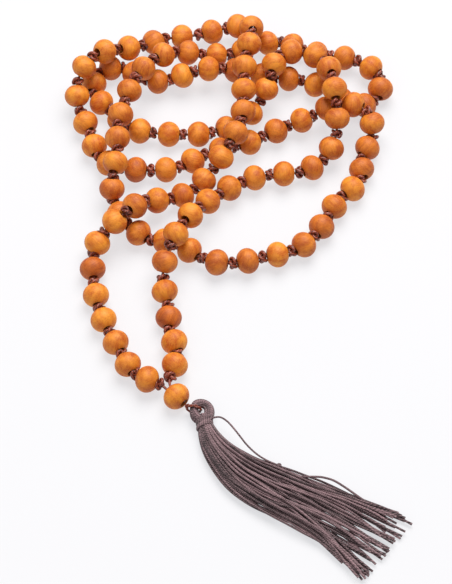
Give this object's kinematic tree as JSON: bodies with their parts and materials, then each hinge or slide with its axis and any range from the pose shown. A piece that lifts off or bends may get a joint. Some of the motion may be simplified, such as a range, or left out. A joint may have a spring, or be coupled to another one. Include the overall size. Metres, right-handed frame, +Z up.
{
  "type": "mala prayer beads",
  "caption": "Knotted strand of turned wooden prayer beads lying in crossing loops, with a guru bead and a long thread tassel.",
  "frame": {"origin": "centre of the footprint's bounding box, on the surface the strand lies on", "axes": "+Z up, +Y from the tassel towards the far end of the piled strand, +X to the right seen from the tassel's side"},
  "size_m": [0.103, 0.1919, 0.019],
  "materials": {
    "bead_wood": "satin oiled turned wood, orange ochre with darker grain",
    "stringing_cord": "waxed reddish brown multi-strand cord",
    "tassel_thread": "dull dark taupe twisted threads"
  },
  "bodies": {
    "strand": {"stringing_cord": "stringing_cord", "knots_1": "stringing_cord", "knots_2": "stringing_cord", "knots_3": "stringing_cord", "knots_4": "stringing_cord", "beads_001_to_021": "bead_wood", "beads_022_to_030": "bead_wood", "beads_031_to_045": "bead_wood", "beads_046_to_054": "bead_wood", "beads_055_to_063": "bead_wood", "beads_064_to_072": "bead_wood", "beads_073_to_081": "bead_wood", "beads_082_to_090": "bead_wood", "beads_091_to_108": "bead_wood", "guru_bead": "bead_wood"},
    "hanger": {"gathering_knot": "stringing_cord", "tassel_hanger_loop": "stringing_cord"},
    "tassel": {"tassel_eye": "tassel_thread", "tassel_neck_binding": "tassel_thread", "tassel_skirt": "tassel_thread", "loose_thread": "tassel_thread"},
    "bead_003": {"bead_003": "bead_wood"},
    "bead_004": {"bead_004": "bead_wood"},
    "bead_005": {"bead_005": "bead_wood"},
    "bead_006": {"bead_006": "bead_wood"},
    "bead_010": {"bead_010": "bead_wood"},
    "bead_011": {"bead_011": "bead_wood"},
    "bead_012": {"bead_012": "bead_wood"},
    "bead_013": {"bead_013": "bead_wood"},
    "bead_014": {"bead_014": "bead_wood"},
    "bead_015": {"bead_015": "bead_wood"},
    "bead_016": {"bead_016": "bead_wood"},
    "bead_017": {"bead_017": "bead_wood"},
    "bead_032": {"bead_032": "bead_wood"},
    "bead_033": {"bead_033": "bead_wood"},
    "bead_034": {"bead_034": "bead_wood"},
    "bead_035": {"bead_035": "bead_wood"},
    "bead_036": {"bead_036": "bead_wood"},
    "bead_037": {"bead_037": "bead_wood"},
    "bead_093": {"bead_093": "bead_wood"},
    "bead_094": {"bead_094": "bead_wood"},
    "bead_095": {"bead_095": "bead_wood"},
    "bead_096": {"bead_096": "bead_wood"},
    "bead_097": {"bead_097": "bead_wood"},
    "bead_098": {"bead_098": "bead_wood"},
    "bead_099": {"bead_099": "bead_wood"},
    "bead_100": {"bead_100": "bead_wood"},
    "bead_101": {"bead_101": "bead_wood"},
    "bead_102": {"bead_102": "bead_wood"},
    "bead_103": {"bead_103": "bead_wood"},
    "bead_104": {"bead_104": "bead_wood"},
    "bead_105": {"bead_105": "bead_wood"},
    "bead_106": {"bead_106": "bead_wood"},
    "bead_107": {"bead_107": "bead_wood"}
  },
  "joints": [
    {"name": "tassel_swing", "type": "hinge", "parent": "strand", "child": "hanger", "pos_m": [-0.01225, -0.04401, 0.004], "axis": [0, 0, 1], "range_deg": [-25, 12]},
    {"name": "tassel_lift", "type": "hinge", "parent": "hanger", "child": "tassel", "pos_m": [-0.01027, -0.04427, 0.0027], "axis": [-0.1302, -0.9915, 0], "range_deg": [0, 60]},
    {"name": "bead_003_turn", "type": "hinge", "parent": "strand", "child": "bead_003", "pos_m": [-0.0335, -0.02275, 0.004], "axis": [-0.4706, 0.8824, 0], "continuous": true},
    {"name": "bead_004_turn", "type": "hinge", "parent": "strand", "child": "bead_004", "pos_m": [-0.03725, -0.015, 0.004], "axis": [-0.4008, 0.9162, 0], "continuous": true},
    {"name": "bead_005_turn", "type": "hinge", "parent": "strand", "child": "bead_005", "pos_m": [-0.03975, -0.0065, 0.004], "axis": [-0.1644, 0.9864, 0], "continuous": true},
    {"name": "bead_006_turn", "type": "hinge", "parent": "strand", "child": "bead_006", "pos_m": [-0.041, 0.00275, 0.004], "axis": [-0.1047, 0.9945, 0], "continuous": true},
    {"name": "bead_010_turn", "type": "hinge", "parent": "strand", "child": "bead_010", "pos_m": [-0.022, 0.02575, 0.00625], "axis": [0.8409, 0.2628, -0.473], "continuous": true},
    {"name": "bead_011_turn", "type": "hinge", "parent": "strand", "child": "bead_011", "pos_m": [-0.01425, 0.029, 0.004], "axis": [0.8824, 0.4706, 0], "continuous": true},
    {"name": "bead_012_turn", "type": "hinge", "parent": "strand", "child": "bead_012", "pos_m": [-0.00775, 0.03375, 0.0055], "axis": [0.6597, 0.6597, 0.3599], "continuous": true},
    {"name": "bead_013_turn", "type": "hinge", "parent": "strand", "child": "bead_013", "pos_m": [-0.0025, 0.0395, 0.0095], "axis": [0.5392, 0.647, 0.5392], "continuous": true},
    {"name": "bead_014_turn", "type": "hinge", "parent": "strand", "child": "bead_014", "pos_m": [0.002, 0.0465, 0.0125], "axis": [0.4444, 0.8889, 0.1111], "continuous": true},
    {"name": "bead_015_turn", "type": "hinge", "parent": "strand", "child": "bead_015", "pos_m": [0.00425, 0.05475, 0.012], "axis": [0.0572, 0.9718, -0.2287], "continuous": true},
    {"name": "bead_016_turn", "type": "hinge", "parent": "strand", "child": "bead_016", "pos_m": [0.0045, 0.06325, 0.01175], "axis": [0, 0.9848, 0.1738], "continuous": true},
    {"name": "bead_017_turn", "type": "hinge", "parent": "strand", "child": "bead_017", "pos_m": [0.00475, 0.0715, 0.0125], "axis": [0.0624, 0.9981, 0], "continuous": true},
    {"name": "bead_032_turn", "type": "hinge", "parent": "strand", "child": "bead_032", "pos_m": [-0.0195, 0.0385, 0.004], "axis": [0.9939, 0.1104, 0], "continuous": true},
    {"name": "bead_033_turn", "type": "hinge", "parent": "strand", "child": "bead_033", "pos_m": [-0.01125, 0.04175, 0.004], "axis": [0.8064, 0.5914, 0], "continuous": true},
    {"name": "bead_034_turn", "type": "hinge", "parent": "strand", "child": "bead_034", "pos_m": [-0.00275, 0.04575, 0.004], "axis": [0.9671, 0.2545, 0], "continuous": true},
    {"name": "bead_035_turn", "type": "hinge", "parent": "strand", "child": "bead_035", "pos_m": [0.00625, 0.04875, 0.004], "axis": [0.9247, 0.3807, 0], "continuous": true},
    {"name": "bead_036_turn", "type": "hinge", "parent": "strand", "child": "bead_036", "pos_m": [0.0145, 0.053, 0.004], "axis": [0.848, 0.53, 0], "continuous": true},
    {"name": "bead_037_turn", "type": "hinge", "parent": "strand", "child": "bead_037", "pos_m": [0.0225, 0.0565, 0.00475], "axis": [0.9545, 0.2386, 0.179], "continuous": true},
    {"name": "bead_093_turn", "type": "hinge", "parent": "strand", "child": "bead_093", "pos_m": [0.031, 0.07, 0.0135], "axis": [0.2182, -0.8729, 0.4364], "continuous": true},
    {"name": "bead_094_turn", "type": "hinge", "parent": "strand", "child": "bead_094", "pos_m": [0.0325, 0.06125, 0.015], "axis": [0.1041, -0.9891, -0.1041], "continuous": true},
    {"name": "bead_095_turn", "type": "hinge", "parent": "strand", "child": "bead_095", "pos_m": [0.03325, 0.0525, 0.0115], "axis": [0.0499, -0.799, -0.5993], "continuous": true},
    {"name": "bead_096_turn", "type": "hinge", "parent": "strand", "child": "bead_096", "pos_m": [0.0315, 0.045, 0.00625], "axis": [-0.4332, -0.7581, -0.4874], "continuous": true},
    {"name": "bead_097_turn", "type": "hinge", "parent": "strand", "child": "bead_097", "pos_m": [0.0255, 0.03925, 0.004], "axis": [-0.8716, -0.4903, 0], "continuous": true},
    {"name": "bead_098_turn", "type": "hinge", "parent": "strand", "child": "bead_098", "pos_m": [0.01675, 0.037, 0.004], "axis": [-1, 0, 0], "continuous": true},
    {"name": "bead_099_turn", "type": "hinge", "parent": "strand", "child": "bead_099", "pos_m": [0.00775, 0.0355, 0.004], "axis": [-0.943, -0.3328, 0], "continuous": true},
    {"name": "bead_100_turn", "type": "hinge", "parent": "strand", "child": "bead_100", "pos_m": [0, 0.03125, 0.00475], "axis": [-0.7754, -0.6092, 0.1662], "continuous": true},
    {"name": "bead_101_turn", "type": "hinge", "parent": "strand", "child": "bead_101", "pos_m": [-0.0065, 0.02525, 0.0065], "axis": [-0.6616, -0.7167, 0.2205], "continuous": true},
    {"name": "bead_102_turn", "type": "hinge", "parent": "strand", "child": "bead_102", "pos_m": [-0.01175, 0.01825, 0.0095], "axis": [-0.4679, -0.7798, 0.4159], "continuous": true},
    {"name": "bead_103_turn", "type": "hinge", "parent": "strand", "child": "bead_103", "pos_m": [-0.016, 0.0105, 0.01125], "axis": [-0.4465, -0.893, -0.0558], "continuous": true},
    {"name": "bead_104_turn", "type": "hinge", "parent": "strand", "child": "bead_104", "pos_m": [-0.01925, 0.0025, 0.0085], "axis": [-0.2562, -0.8197, -0.5123], "continuous": true},
    {"name": "bead_105_turn", "type": "hinge", "parent": "strand", "child": "bead_105", "pos_m": [-0.01925, -0.00575, 0.005], "axis": [0.2752, -0.9358, -0.2202], "continuous": true},
    {"name": "bead_106_turn", "type": "hinge", "parent": "strand", "child": "bead_106", "pos_m": [-0.018, -0.01425, 0.004], "axis": [0, -1, 0], "continuous": true},
    {"name": "bead_107_turn", "type": "hinge", "parent": "strand", "child": "bead_107", "pos_m": [-0.01625, -0.0225, 0.004], "axis": [0.4008, -0.9162, 0], "continuous": true}
  ]
}
